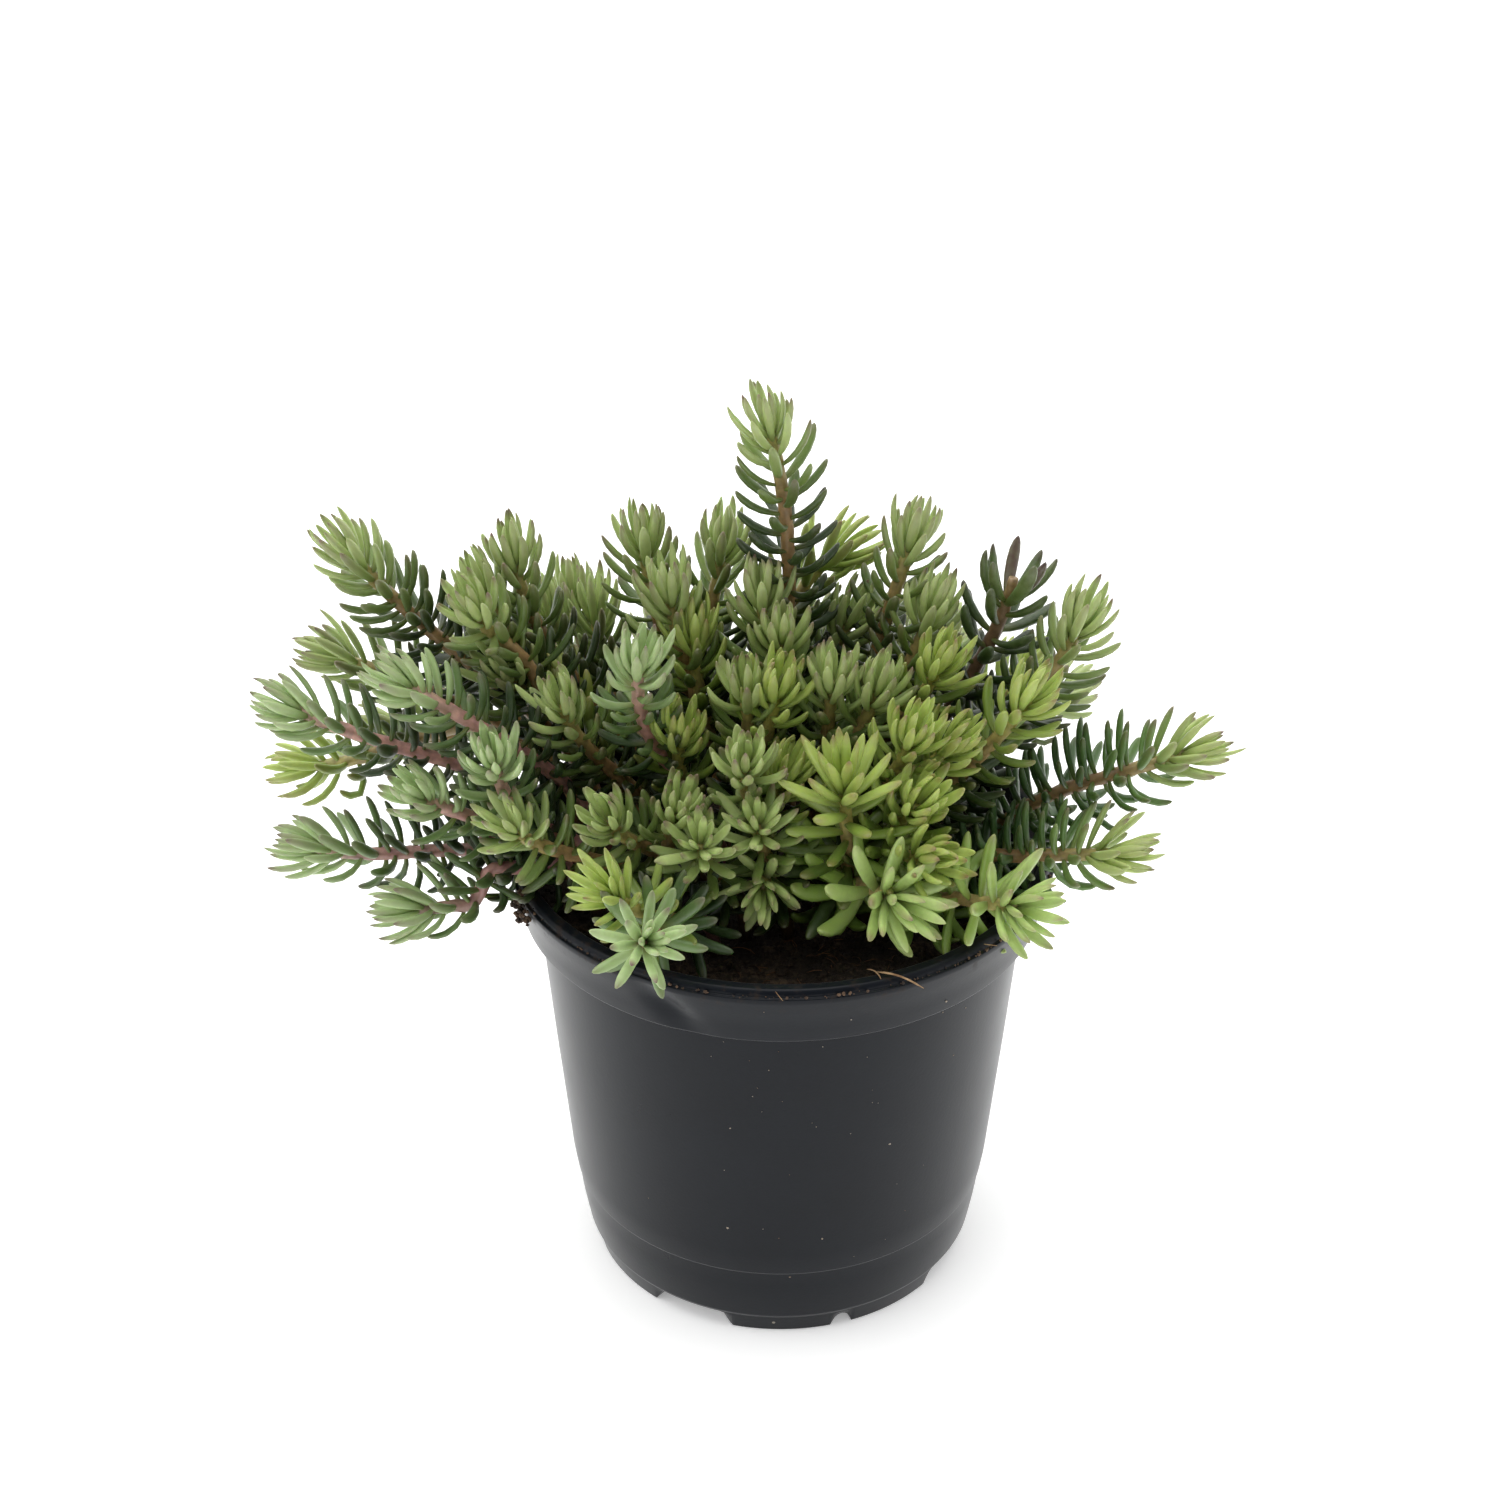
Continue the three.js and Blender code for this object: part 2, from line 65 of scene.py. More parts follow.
def rounded(profile, steps=4):
    """A profile of corners, each cut back by its fillet and rounded by a quadratic arc from cut to cut."""
    points = [np.array(profile[0][:2], float)]
    t = np.linspace(0, 1, steps + 1)[:, None]
    for before, corner, after in zip(profile, profile[1:], profile[2:]):
        p, c, q = (np.array(v[:2], float) for v in (before, corner, after))
        back, on = np.linalg.norm(p - c), np.linalg.norm(q - c)
        cut = min(corner[2], 0.45 * back, 0.45 * on)
        a, b = c + (p - c) / back * cut, c + (q - c) / on * cut
        points.append((1 - t) ** 2 * a + 2 * t * (1 - t) * c + t**2 * b)
    points.append(np.array(profile[-1][:2], float))
    return np.vstack(points)


def pot_surface():
    """The rounded profile turned about the axis. The foot's lower edge is lifted by a trapezium at each
    wide notch and by a half ellipse at each small one. The radius loses a bell-shaped dent on the collar,
    and grows and shrinks twice a turn, more so towards the lip, as a thin pot's does."""
    line = rounded(POT_PROFILE)[1:-1]
    radius, height = line[:, :1], line[:, 1:]
    angle = np.arange(POT_COLUMNS) * 2 * np.pi / POT_COLUMNS
    bearing = np.degrees(angle)
    from_wide = np.abs((bearing - WIDE_BEARING + 45) % 90 - 45)
    from_small = np.abs((bearing - SMALL_BEARING + 45) % 90 - 45)
    lift = np.clip((WIDE_HALF - from_wide) / WIDE_SLOPE, 0, 1) * WIDE_HIGH
    lift = np.maximum(lift, np.sqrt(np.clip(1 - (from_small / SMALL_HALF) ** 2, 0, 1)) * SMALL_HIGH)
    foot = (height < FOOT_TOP) & (radius > FOOT_INSIDE)
    height = np.where(foot, np.maximum(height, lift + 0.12 * height), height)
    above = height - DENT_HEIGHT
    from_dent = np.hypot(bearing - DENT_BEARING + DENT_SLANT * above, above) / DENT_SPREAD
    collar = (radius > COLLAR_INSIDE) & (height > COLLAR_BOTTOM)
    push = np.where(collar, DENT_DEPTH * np.exp(-(from_dent**2)), 0)
    push = push - OUT_OF_ROUND * np.cos(2 * angle - 0.6) * height / LIP_HEIGHT
    return np.stack([(radius - push) * np.cos(angle), (radius - push) * np.sin(angle), height], -1)


def closed_tube(rows, sides):
    """The triangles that skin rings of corners laid out ring after ring, with a pole for the first and one
    for the last ring after them: two to a cell between rings, and a fan at each end. The rings turn
    anticlockwise about the way they follow each other, and the faces then point outwards."""
    r, c = np.meshgrid(np.arange(rows - 1), np.arange(sides), indexing="ij")
    d = (c + 1) % sides
    low, low_next, high, high_next = r * sides + c, r * sides + d, (r + 1) * sides + c, (r + 1) * sides + d
    wall = np.stack([low, low_next, high_next, low, high_next, high], -1).reshape(-1, 3)
    c = np.arange(sides)
    d = (c + 1) % sides
    first, last = np.full(sides, rows * sides), np.full(sides, rows * sides + 1)
    top = (rows - 1) * sides
    return np.vstack([wall, np.stack([first, d, c], -1), np.stack([last, c + top, d + top], -1)])


def mesh_piece(name, corners, faces, skin, smooth=True):
    """An object that sits unturned at the origin, from corners in millimetres about the pot's axis."""
    mesh = bpy.data.meshes.new(name)
    mesh.from_pydata(((corners + POT_AXIS) / 1000).tolist(), [], faces.tolist())
    mesh.polygons.foreach_set("use_smooth", np.full(len(faces), smooth))
    mesh.materials.append(skin)
    piece = bpy.data.objects.new(name, mesh)
    bpy.context.scene.collection.objects.link(piece)
    return piece


def linear(code):
    """A colour given as an sRGB hex string, as linear RGBA: each channel is taken back through the sRGB
    curve."""
    parts = np.array([int(code[i : i + 2], 16) for i in (1, 3, 5)]) / 255
    return (*np.where(parts <= 0.04045, parts / 12.92, ((parts + 0.055) / 1.055) ** 2.4), 1.0)


def bare(owner):
    """A new material or world, with its own nodes cleared away."""
    owner.use_nodes = True
    owner.node_tree.nodes.clear()
    return owner


def add(owner, kind, inputs, take=0, stops=(), **settings):
    """Adds a node with its settings, its inputs set to values or linked to other outputs, and a colour
    ramp's stops as places with a hex colour or a grey. Gives the output that take names, or nothing for a
    last node."""
    node = owner.node_tree.nodes.new("ShaderNode" + kind)
    for name, value in settings.items():
        setattr(node, name, value)
    for name, value in inputs.items():
        if isinstance(value, bpy.types.NodeSocket):
            owner.node_tree.links.new(value, node.inputs[name])
        else:
            node.inputs[name].default_value = value
    for i, (place, colour) in enumerate(stops):
        stop = node.color_ramp.elements[i] if i < 2 else node.color_ramp.elements.new(place)
        stop.position = place
        stop.color = linear(colour) if isinstance(colour, str) else (colour, colour, colour, 1)
    return None if take is None else node.outputs[take]


# Polypropylene moulded in a plain steel mould: nearly black with a cold tinge and half glossy, clouded
# where it was handled, with stray dust on the wall and dried soil under the lip. The moulded grain is
# really much finer than 0.6 mm, and is drawn so coarse to show at all.
CLOUD_WIDTH, GRAIN_WIDTH, DUST_SPACING, SOIL_SPOT = 26.3, 0.625, 7.69, 2.38
DUST_SHARE, DUST_SIZE = 0.16, 0.045  # of the cells that hold a speck, and the speck's radius in cells
plastic = bare(bpy.data.materials.new("polypropylene"))
place = add(plastic, "TexCoord", {}, "Object")
cloud = {"Vector": place, "Scale": 1000 / CLOUD_WIDTH, "Detail": 6.0, "Roughness": 0.65}
cloud = add(plastic, "TexNoise", cloud)
colour = add(plastic, "ValToRGB", {"Fac": cloud}, stops=[(0.3, "#070b12"), (0.7, "#0c1118")])
cells = {"Vector": place, "Scale": 1000 / DUST_SPACING, "Randomness": 1.0}
distance, cell = (add(plastic, "TexVoronoi", cells, output) for output in ("Distance", "Color"))
in_the_middle = add(plastic, "Math", {0: distance, 1: DUST_SIZE}, operation="LESS_THAN")
cell_number = add(plastic, "SeparateColor", {"Color": cell}, "Red")
rare = add(plastic, "Math", {0: cell_number, 1: DUST_SHARE}, operation="LESS_THAN")
dust = add(plastic, "Math", {0: in_the_middle, 1: rare}, operation="MULTIPLY")
colour = add(plastic, "Mix", {0: dust, 6: colour, 7: linear("#8c8578")}, 2, data_type="RGBA")
height = add(plastic, "SeparateXYZ", {"Vector": place}, "Z")
near_lip = add(plastic, "MapRange", {0: height, 1: 0.086, 2: 0.0912, 3: 0.0, 4: 0.5})
spots = {"Vector": place, "Scale": 1000 / SOIL_SPOT, "Detail": 8.0, "Roughness": 0.7}
spots = add(plastic, "ValToRGB", {"Fac": add(plastic, "TexNoise", spots)}, stops=[(0.54, 0.0), (0.66, 1.0)])
soiled = add(plastic, "Math", {0: near_lip, 1: spots}, operation="MULTIPLY")
colour = add(plastic, "Mix", {0: soiled, 6: colour, 7: linear("#3a2c20")}, 2, data_type="RGBA")
rough = add(plastic, "MapRange", {0: cloud, 1: 0.3, 2: 0.7, 3: 0.27, 4: 0.33})
rough = add(plastic, "Math", {0: rough, 1: soiled}, operation="ADD")
grain = add(plastic, "TexNoise", {"Vector": place, "Scale": 1000 / GRAIN_WIDTH, "Detail": 1.0})
relief = add(plastic, "Bump", {"Height": grain, "Strength": 0.05, "Distance": 0.0002})
shell = {"Base Color": colour, "Roughness": rough, "Normal": relief, "Specular IOR Level": 0.17, "IOR": 1.49}
shell = add(plastic, "BsdfPrincipled", {**shell, "Sheen Weight": 0.12, "Sheen Roughness": 0.4})
add(plastic, "OutputMaterial", {"Surface": shell}, None)

rings = pot_surface()
corners = np.vstack([rings.reshape(-1, 3), [[0, 0, FLOOR_UNDER], [0, 0, FLOOR_TOP]]])
pot = mesh_piece("nursery_pot", corners, closed_tube(len(rings), POT_COLUMNS), plastic)
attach(pot, "root")
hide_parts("pot")

# The fill: potting peat, pressed in by hand to a centimetre under the lip and watered down, so that its top
# is slightly crowned, lumpy and full of small hollows. It lies against the pot's wall and stops above its
# floor.
PEAT_SIDES, PEAT_RINGS, PEAT_RADIUS, PEAT_TOP = 240, 64, 47.6, 80
PEAT_WALL = np.array([(37.2, 6.0), (39.9, 22.0), (45.2, 77.9), (47.7, 79.4)])  # radius and height, going up


def peat_height(x, y):
    """The top: a parabola's crown with one long wave, and lumps and crumbs as products of two bent sine
    waves."""
    crown = PEAT_TOP + 1.6 * (1 - (np.hypot(x, y) / 47) ** 2) + 0.5 * np.sin(x * 0.31 + 1) * np.cos(y * 0.27)
    lumps = 0.45 * np.sin(x * 0.9 + 2 * np.sin(y * 0.5)) * np.sin(y * 1.1 + 1.3 * np.sin(x * 0.7))
    crumbs = 0.22 * np.sin(x * 2.7 + 3 * np.sin(y * 1.9)) * np.sin(y * 3.1 + 2 * np.sin(x * 2.3))
    return crown + lumps + crumbs


# Moist peat: dark brown and matt, mottled in patches of a few millimetres with pale fibres that have dried.
CRUMB_WIDTH, PATCH_WIDTH, LUMP_WIDTH = 1.11, 8.33, 1.923
earth = bare(bpy.data.materials.new("moist_peat"))
place = add(earth, "TexCoord", {}, "Object")
crumb = {"Vector": place, "Scale": 1000 / CRUMB_WIDTH, "Detail": 8.0, "Roughness": 0.7}
crumb = add(earth, "TexNoise", crumb)
patch = add(earth, "TexNoise", {"Vector": place, "Scale": 1000 / PATCH_WIDTH, "Detail": 4.0})
blend = add(earth, "Math", {0: crumb, 1: patch}, operation="MULTIPLY")
browns = [(0.1, "#17110c"), (0.25, "#2f251a"), (0.42, "#6a5744")]
colour = add(earth, "ValToRGB", {"Fac": blend}, stops=browns)
lump = add(earth, "TexVoronoi", {"Vector": place, "Scale": 1000 / LUMP_WIDTH})
relief = add(earth, "Math", {0: crumb, 1: lump}, operation="SUBTRACT")
relief = add(earth, "Bump", {"Height": relief, "Strength": 0.9, "Distance": 0.0012})
shader = add(earth, "BsdfPrincipled", {"Base Color": colour, "Roughness": 0.93, "Normal": relief})
add(earth, "OutputMaterial", {"Surface": shader}, None)

angle = np.arange(PEAT_SIDES) * 2 * np.pi / PEAT_SIDES
reach = np.concatenate([PEAT_WALL[:, 0], PEAT_RADIUS * np.arange(PEAT_RINGS, 0, -1) / PEAT_RINGS])[:, None]
x, y = reach * np.cos(angle), reach * np.sin(angle)
z = peat_height(x, y)
z[: len(PEAT_WALL)] = PEAT_WALL[:, 1:]
poles = [[0, 0, PEAT_WALL[0, 1]], [0, 0, peat_height(0.0, 0.0)]]
corners = np.vstack([np.stack([x, y, z], -1).reshape(-1, 3), poles])
peat = mesh_piece("peat_fill", corners, closed_tube(len(reach), PEAT_SIDES), earth)
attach(peat, "root")
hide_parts("soil")

# Loose crumbs of the same peat, from half a millimetre to two millimetres across, that lie scattered on the
# fill where it was crumbled in.
CRUMBS, CRUMB_REACH = 900, 46.5
chance = np.random.default_rng(5)
ENDS = np.array([[0, 0, 1], [0, 0, -1], [1, 0, 0], [-1, 0, 0], [0, 1, 0], [0, -1, 0]], float)
SIDES = np.array([[0, 2, 4], [0, 4, 3], [0, 3, 5], [0, 5, 2], [1, 4, 2], [1, 3, 4], [1, 5, 3], [1, 2, 5]])
EDGES = [[0, 2], [2, 4], [0, 4], [3, 4], [0, 3], [3, 5], [0, 5], [2, 5], [1, 4], [1, 2], [1, 3], [1, 5]]
EDGES = np.array(EDGES)
BALL = np.vstack([ENDS, ENDS[EDGES].sum(1) / math.sqrt(2)])
middle_of = np.zeros((len(ENDS), len(ENDS)), int)
middle_of[EDGES[:, 0], EDGES[:, 1]] = middle_of[EDGES[:, 1], EDGES[:, 0]] = len(ENDS) + np.arange(len(EDGES))
a, b, c = SIDES.T
ab, bc, ca = middle_of[a, b], middle_of[b, c], middle_of[c, a]
BALL_FACES = np.stack([a, ab, ca, ab, b, bc, ca, bc, c, ab, bc, ca], -1).reshape(-1, 3)


def repeated(faces, count, corners):
    """The faces of one shape for a count of like shapes, whose corners follow each other in the mesh."""
    return (faces + np.arange(count)[:, None, None] * corners).reshape(-1, 3)


def grains(middles, sizes, least, most, away=None):
    """Rough grains: an octahedron with each side split in four and every corner on a ball of the grain's
    size, then drawn out or in by chance. Where a way off the wall is given, three quarters of the reach
    along it are lost."""
    shapes = BALL * sizes[:, None, None] * chance.uniform(least, most, (len(sizes), len(BALL), 1))
    if away is not None:
        shapes -= 0.75 * (shapes * away[:, None]).sum(-1, keepdims=True) * away[:, None]
    return (middles[:, None] + shapes).reshape(-1, 3), repeated(BALL_FACES, len(sizes), len(BALL))


reach = np.sqrt(chance.uniform(0, 1, CRUMBS)) * CRUMB_REACH
angle = chance.uniform(0, 2 * np.pi, CRUMBS)
size = 0.25 + 0.9 * chance.uniform(0, 1, CRUMBS) ** 3
x, y = reach * np.cos(angle), reach * np.sin(angle)
corners, faces = grains(np.stack([x, y, peat_height(x, y) + 0.3 * size], -1), size, 0.6, 1.2)
loose = mesh_piece("peat_crumbs", corners, faces, earth, smooth=False)
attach(loose, "root")

# Fibres of undecayed moss and root in the peat, a few tenths of a millimetre thick and bent as they dried,
# and five loose bits of straw: two lie across the lip in front and three along it.
FIBRES, FIBRE_REACH = 420, 45
STRAND_SIDES, STRAND_RINGS = 4, 7
# The start of each straw, its bearing and bend in radians, its length and its radius.
STRAWS = [(16.5, -45.6, 91.5, -0.62, 0.12, 9.5, 0.22), (14.8, -44.6, 91.4, -0.5, -0.7, 4.0, 0.14)]
STRAWS += [(-1.5, -51.2, 91.3, -1.5, 0.6, 3.2, 0.09), (36.2, -36.8, 91.4, -0.9, 1.2, 2.6, 0.1)]
STRAWS += [(44.0, -26.6, 91.3, 0.9, -0.9, 2.2, 0.09)]


def strands(starts, bearings, bends, lengths, radii):
    """Tubes along level arcs, each turning by its bend and humped by half a sine wave a tenth as high as it
    is long. The radius falls to four tenths at both ends."""
    t = np.linspace(0, 1, STRAND_RINGS)
    angle = bearings[:, None] + bends[:, None] * t
    step = np.stack([np.cos(angle), np.sin(angle)], -1) * (lengths / (STRAND_RINGS - 1))[:, None, None]
    level = starts[:, None, :2] + np.cumsum(step, 1) - step[:, :1]
    rise = starts[:, 2:3] + 0.1 * lengths[:, None] * np.sin(np.pi * t)
    line = np.concatenate([level, rise[..., None]], -1)
    side = np.stack([-np.sin(angle), np.cos(angle), np.zeros_like(angle)], -1)[:, :, None]
    around = np.arange(STRAND_SIDES)[:, None] * 2 * np.pi / STRAND_SIDES
    spokes = side * np.cos(around) + np.array([0, 0, 1.0]) * np.sin(around)
    spokes = spokes * (radii[:, None] * np.where((t == 0) | (t == 1), 0.4, 1))[..., None, None]
    rings = (line[:, :, None] + spokes).reshape(len(starts), -1, 3)
    corners = np.concatenate([rings, line[:, :1], line[:, -1:]], 1)
    faces = repeated(closed_tube(STRAND_RINGS, STRAND_SIDES), len(starts), corners.shape[1])
    return corners.reshape(-1, 3), faces


def dry_matter(name, dark, light):
    """Dead plant stuff or dried soil, dull and mottled between two browns in spots about 3 mm wide."""
    dry = bare(bpy.data.materials.new(name))
    place = add(dry, "TexCoord", {}, "Object")
    spots = add(dry, "TexNoise", {"Vector": place, "Scale": 1000 / 2.857, "Detail": 3.0})
    colour = add(dry, "ValToRGB", {"Fac": spots}, stops=[(0.4, dark), (0.6, light)])
    shader = add(dry, "BsdfPrincipled", {"Base Color": colour, "Roughness": 0.85})
    add(dry, "OutputMaterial", {"Surface": shader}, None)
    return dry


reach = np.sqrt(chance.uniform(0, 1, FIBRES)) * FIBRE_REACH
angle = chance.uniform(0, 2 * np.pi, FIBRES)
x, y = reach * np.cos(angle), reach * np.sin(angle)
bearings, bends = chance.uniform(0, 2 * np.pi, FIBRES), chance.uniform(-2.2, 2.2, FIBRES)
lengths = 1.5 + 4.5 * chance.uniform(0, 1, FIBRES) ** 2
radii = 0.07 + 0.12 * chance.uniform(0, 1, FIBRES) ** 3
corners, faces = strands(np.stack([x, y, peat_height(x, y) + 0.15], -1), bearings, bends, lengths, radii)
fibres = mesh_piece("peat_fibres", corners, faces, dry_matter("peat_fibre", "#2a1b10", "#6b4a2c"))
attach(fibres, "root")

starts, others = np.split(np.array(STRAWS), [3], axis=1)
corners, faces = strands(starts, *others.T)
straw = mesh_piece("straw", corners, faces, dry_matter("straw", "#76583a", "#a88a66"))
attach(straw, "root")

# Dirt on the pot: crumbs of peat that dried on the step under the lip, a small heap of them that clings to
# the left rim, and dust flakes that stick to the wall.
STEP_CRUMBS, HEAP_CRUMBS, DUST_FLAKES = 150, 36, 260
STEP_RADIUS, STEP_HEIGHT, RIM_RADIUS = 52.0, 90.35, 52.3
HEAP_BEARING, HEAP_BOTTOM, HEAP_TOP = 202, 85.5, 91.6
WALL_HEIGHTS, WALL_RADII = [4.8, 17.2, 21.5, 78, 79, 89.4], [39.4, 41.2, 42.05, 46.9, 49.8, 52.4]
angle = np.radians(chance.uniform(-170, -10, STEP_CRUMBS))
size = 0.12 + 0.3 * chance.uniform(0, 1, STEP_CRUMBS) ** 3
reach = STEP_RADIUS + 0.2 * chance.standard_normal(STEP_CRUMBS)
middles = np.stack([reach * np.cos(angle), reach * np.sin(angle), STEP_HEIGHT + 0.4 * size], -1)
angle = np.radians(HEAP_BEARING + 2.2 * chance.standard_normal(HEAP_CRUMBS))
x = (RIM_RADIUS + chance.uniform(0, 1.4, HEAP_CRUMBS)) * np.cos(angle)
y = (RIM_RADIUS + chance.uniform(0, 1.4, HEAP_CRUMBS)) * np.sin(angle)
middles = np.vstack([middles, np.stack([x, y, chance.uniform(HEAP_BOTTOM, HEAP_TOP, HEAP_CRUMBS)], -1)])
size = np.concatenate([size, chance.uniform(0.35, 0.8, HEAP_CRUMBS)])
corners, faces = grains(middles, size, 0.6, 1.2)
dried = dry_matter("dried_peat", "#20160f", "#604a38")
dirt = mesh_piece("dirt_on_the_rim", corners, faces, dried, smooth=False)
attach(dirt, "root")

angle, height = np.radians(chance.uniform(0, 360, DUST_FLAKES)), chance.uniform(6, 88, DUST_FLAKES)
size = 0.07 + 0.2 * chance.uniform(0, 1, DUST_FLAKES) ** 4
away = np.stack([np.cos(angle), np.sin(angle), np.zeros(DUST_FLAKES)], -1)
middles = away * np.interp(height, WALL_HEIGHTS, WALL_RADII)[:, None]
middles[:, 2] = height
corners, faces = grains(middles, size, 0.5, 1.6, away)
specks = mesh_piece("dust_specks", corners, faces, dry_matter("dust", "#6b5138", "#a39a8c"))
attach(specks, "root")

# How the shoots root and run: each plant was once a cutting stuck into the peat. It grew up and out from
# there to the light, forked, and shouldered its neighbours aside. The rule and its numbers are those of the
# frame's solids. A shoot's tip is its furthest point x, y and z, the bearing and the rise of its axis in
# degrees, the length that is in leaf, and the kind of its skin: glaucous, lime, on a pink stem, dark,
# comb-leaved or pale for want of light.
PLANTS = {
    "left_high": [(-85, 10, 154, 180, 57, 34, "g")],
    "left_back": [(-94, 18, 123.5, 180, 20, 22, "g"), (-103, 22, 94, 178, 5, 20, "l")],
    "left_long": [(-98, -5, 127, 180, 34, 44, "p")],
    "left_low": [(-97, -8, 97, 184, 27, 44, "p")],
    "left_trailing": [(-77, -24, 92, 190, 20, 34, "p")],
    "left_crown": [(-58, -8, 151, -125, 66, 28, "g"), (-58, 8, 149, 175, 75, 18, "g")],
    "left_upright": [(-50, 12, 154, 90, 86, 28, "g"), (-51, -4, 136, -90, 72, 20, "g")],
    "left_mid": [(-75, -15, 139, 180, 40, 34, "p")],
    "left_front": [(-68, -27, 121, -112, 55, 24, "p"), (-52, -28, 132, -95, 75, 24, "p")],
    "left_rosette": [(-49, -35, 120, -92, 62, 24, "g")],
    "back_left": [
        (-46, 30, 133, 95, 84, 22, "g"),
        (-41, 36, 133, 100, 84, 22, "g"),
        (-36, 28, 134, 80, 86, 22, "g"),
    ],
    "centre_tall": [(-26, 16, 155, 90, 86, 34, "g"), (-11, 22, 152, 90, 84, 30, "g")],
    "centre_full": [(-22, 4, 150, 180, 84, 28, "g"), (-15, 3, 142, 0, 82, 24, "l")],
    "centre_pink": [(-23, -18, 146, -30, 68, 34, "p"), (-18, -16, 131, -60, 80, 20, "l")],
    "centre_left": [(-41, -15, 136, -100, 75, 26, "g"), (-42, 6, 130, 90, 80, 16, "l")],
    "front_left": [(-32, -33, 121, -95, 66, 22, "g"), (-18, -31, 123, -85, 70, 22, "g")],
    "front_trailing": [(-19, -59, 110, -35, 42, 24, "p"), (-32, -47, 114, -105, 58, 16, "l")],
    "front_small": [(-13, -40, 118, -68, 50, 20, "g")],
    "front_mid": [(-6, -30, 131, -75, 66, 22, "g"), (2, -22, 126, -70, 76, 20, "l")],
    "front_low": [(-3, -36, 120, -72, 52, 22, "g"), (-1, -38, 104, -58, 40, 20, "g")],
    "crown_spire": [(-5, 12, 180, 170, 74, 56, "g")],
    "crown_back": [(-4, 6, 149, 90, 82, 26, "g"), (0, -5, 145, -80, 80, 24, "g")],
    "crown_front": [(-7, -12, 138, -90, 80, 24, "g"), (0, -14, 139, -60, 78, 16, "l")],
    "crown_right": [(9, -12, 140, -85, 80, 26, "g"), (18, -12, 138, -70, 80, 22, "g")],
    "right_nodding": [(20, 24, 143, 10, 12, 26, "l"), (14, 14, 140, 60, 82, 24, "g")],
    "right_tall": [(27, 16, 156, 40, 66, 38, "g")],
    "right_crown": [(30, 6, 146, 10, 74, 22, "g"), (30, -8, 141, -50, 78, 26, "l")],
    "right_dark": [(44, 8, 152, 20, 83, 40, "d")],
    "right_high": [(58, 2, 145, 18, 70, 42, "g")],
    "right_mid": [(48, -16, 138, -18, 66, 34, "l")],
    "right_long": [(84, -5, 116, -4, 25, 60, "c")],
    "right_low": [(69, -24, 104, -24, 24, 52, "c")],
    "right_rim": [(46, -44, 105, -58, 34, 24, "w")],
    "front_right": [(27, -32, 122, -58, 50, 26, "l"), (30, -39, 113, -50, 42, 20, "l")],
    "front_right_upper": [(25, -24, 134, -50, 70, 28, "l"), (34, -20, 129, -38, 60, 26, "l")],
    "front_pale": [(24, -45, 103.5, -62, 14, 30, "w"), (11, -30, 128, -78, 72, 24, "l")],
    "back_a": [(-70, 42, 112, 150, 40, 30, "g"), (-86, 34, 98, 160, 15, 30, "g")],
    "back_b": [(-52, 58, 108, 130, 45, 30, "p"), (-62, 72, 96, 130, 15, 30, "g")],
    "back_c": [(-26, 62, 112, 112, 55, 28, "g"), (-26, 84, 97, 105, 12, 30, "g")],
    "back_d": [(4, 62, 114, 85, 50, 28, "l"), (6, 88, 96, 90, 10, 30, "g")],
    "back_e": [(34, 54, 114, 60, 50, 28, "g"), (40, 78, 97, 65, 15, 30, "g")],
    "back_f": [(54, 40, 114, 40, 45, 30, "l"), (66, 56, 97, 40, 15, 30, "g")],
    "back_g": [(-14, 44, 124, 100, 72, 26, "g"), (22, 42, 124, 75, 72, 26, "g")],
}
BUD_REACH, STEPS = 4.2, 16
ROOT_SHARE, ROOT_GAP, ROOT_LIMIT, ROOT_HEIGHT = 0.45, 8, 40, 82.6
OVER_RIM, RIM_FROM, RIM_TO = 95.6, 42, 58.5
SHOOT_GAP = 4.3
UP = np.array([0.0, 0.0, 1.0])


def unit(v):
    """Vectors scaled to length 1."""
    return v / np.maximum(np.linalg.norm(v, axis=-1, keepdims=True), 1e-9)


def shoot_line(start, along, tip):
    """The cubic curve that leaves a start along a direction and reaches the tip's growing point on its
    axis."""
    bearing, rise = np.radians(tip[3:5])
    axis = np.array([np.cos(bearing) * np.cos(rise), np.sin(bearing) * np.cos(rise), np.sin(rise)])
    apex = np.array(tip[:3], float) - BUD_REACH * axis
    span = np.linalg.norm(apex - start)
    t = np.linspace(0, 1, STEPS + 1)[:, None]
    a, b = start + 0.38 * span * along, apex - 0.42 * span * axis
    return (1 - t) ** 3 * start + 3 * t * (1 - t) ** 2 * a + 3 * t**2 * (1 - t) * b + t**3 * apex


def fork_of(points):
    """The place on a main shoot's line where its side shoots fork off."""
    return points[5] + 0.6 * (points[6] - points[5])


# The roots start under the middle of their own tips, drawn in towards the axis, and make room for each
# other.
roots = [ROOT_SHARE * np.mean([tip[:2] for tip in tips], axis=0) for tips in PLANTS.values()]
for _ in range(60):
    for i, a in enumerate(roots):
        for b in roots[i + 1 :]:
            near = math.hypot(*(b - a))
            if near < ROOT_GAP:
                push = (b - a) * 0.5 * (ROOT_GAP - near) / (near + 1e-6)
                a -= push
                b += push
    for root in roots:
        root *= min(1, ROOT_LIMIT / math.hypot(*root))

lines = []
for (plant, tips), root in zip(PLANTS.items(), roots):
    main = {"plant": plant, "tip": tips[0], "main": None}
    main["points"] = shoot_line(np.array([*root, ROOT_HEIGHT]), UP, tips[0])
    lines.append(main)
    along = unit(main["points"][6] - main["points"][5])
    for tip in tips[1:]:
        points = shoot_line(fork_of(main["points"]), along, tip)
        lines.append({"plant": plant, "tip": tip, "main": main, "points": points})

# A shoot that crosses the rim lies over it.
for line in lines:
    points = line["points"]
    reach = np.hypot(points[:, 0], points[:, 1])
    low = (reach > RIM_FROM) & (reach < RIM_TO) & (points[:, 2] < OVER_RIM)
    low[0] = False
    points[low, 2] = OVER_RIM

